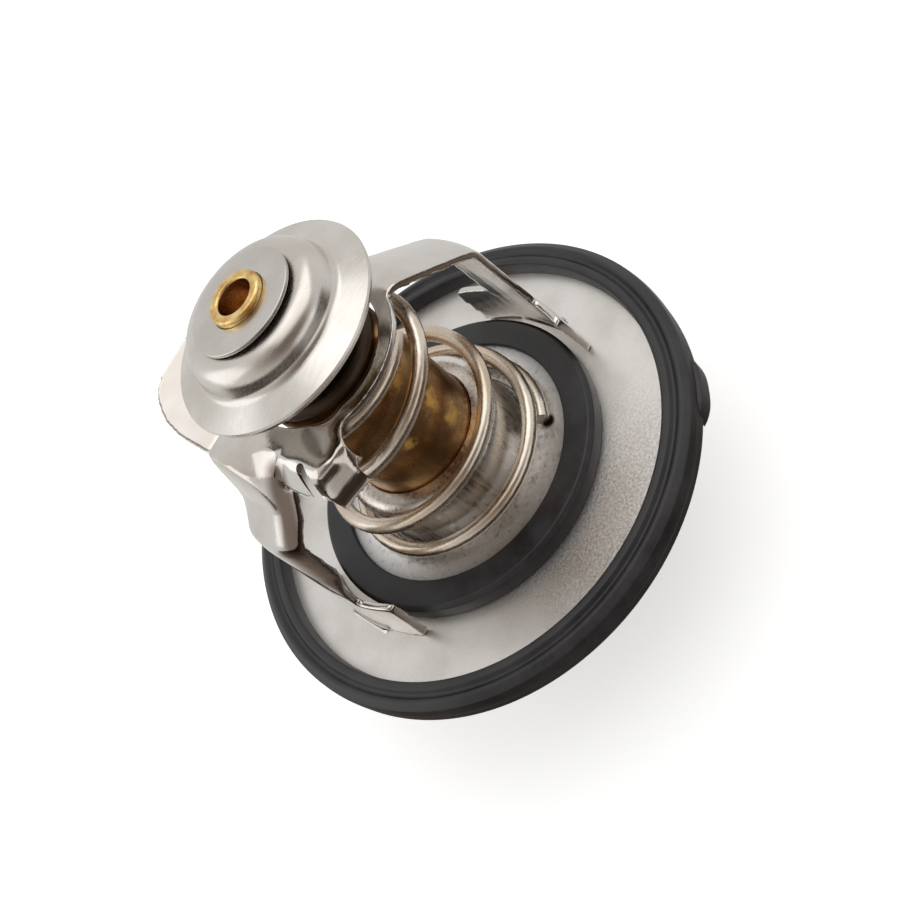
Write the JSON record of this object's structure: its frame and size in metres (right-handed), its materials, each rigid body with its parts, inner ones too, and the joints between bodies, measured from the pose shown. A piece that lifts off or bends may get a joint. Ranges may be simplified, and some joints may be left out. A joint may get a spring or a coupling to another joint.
{
  "type": "engine thermostat",
  "caption": "Wax thermostat with a bypass valve: flange with a rubber seal, stamped bridges, conical spring, brass capsule and a stepped disc on a hollow stem.",
  "frame": {"origin": "on the capsule's axis, at the flange's metal face on the engine side", "axes": "+Z along the axis towards the engine and the bypass tip, +X along the bridge"},
  "size_m": [0.06, 0.06, 0.0614],
  "materials": {
    "flange_steel": "satin rolled steel sheet",
    "seal_rubber": "moulded nitrile rubber, matt",
    "bridge_steel": "polished stamped steel",
    "piston_steel": "ground and polished pin",
    "capsule_brass": "drawn brass, darkened",
    "guide_brass": "turned brass",
    "stem_brass": "turned brass, bright",
    "wax": "wax with copper powder",
    "inner_rubber": "moulded rubber",
    "disc_plastic": "white fluoropolymer",
    "collar_steel": "drawn steel with draw marks",
    "plate_zinc": "mottled zinc plate",
    "valve_rubber": "moulded rubber, slightly shiny",
    "spring_steel": "drawn stainless wire",
    "bypass_steel": "stamped steel, fine grain",
    "washer_steel": "stamped steel, fine grain"
  },
  "bodies": {
    "housing": {"flange": "flange_steel", "flange_seal": "seal_rubber", "lower_bridge": "bridge_steel", "upper_bridge": "bridge_steel", "piston": "piston_steel", "anti_extrusion_disc": "disc_plastic", "main_spring": "spring_steel"},
    "valve": {"capsule_cup": "capsule_brass", "capsule_guide": "guide_brass", "wax_pellet": "wax", "diaphragm": "inner_rubber", "rubber_plug": "inner_rubber", "guide_seal": "inner_rubber", "valve_collar": "collar_steel", "valve_plate": "plate_zinc", "valve_rubber": "valve_rubber", "bypass_stem": "stem_brass", "bypass_washer": "washer_steel", "bypass_spring": "spring_steel"},
    "bypass": {"bypass_disc": "bypass_steel"}
  },
  "joints": [
    {"name": "valve_slide", "type": "slide", "parent": "housing", "child": "valve", "axis": [0, 0, 1], "range_m": [0, 0.007], "stiffness_N_per_m": 3000, "springref_m": -0.02, "deforming": ["main_spring"]},
    {"name": "bypass_slide", "type": "slide", "parent": "valve", "child": "bypass", "axis": [0, 0, 1], "range_m": [-0.003, 0], "stiffness_N_per_m": 500, "springref_m": 0.006, "deforming": ["bypass_spring"]}
  ]
}
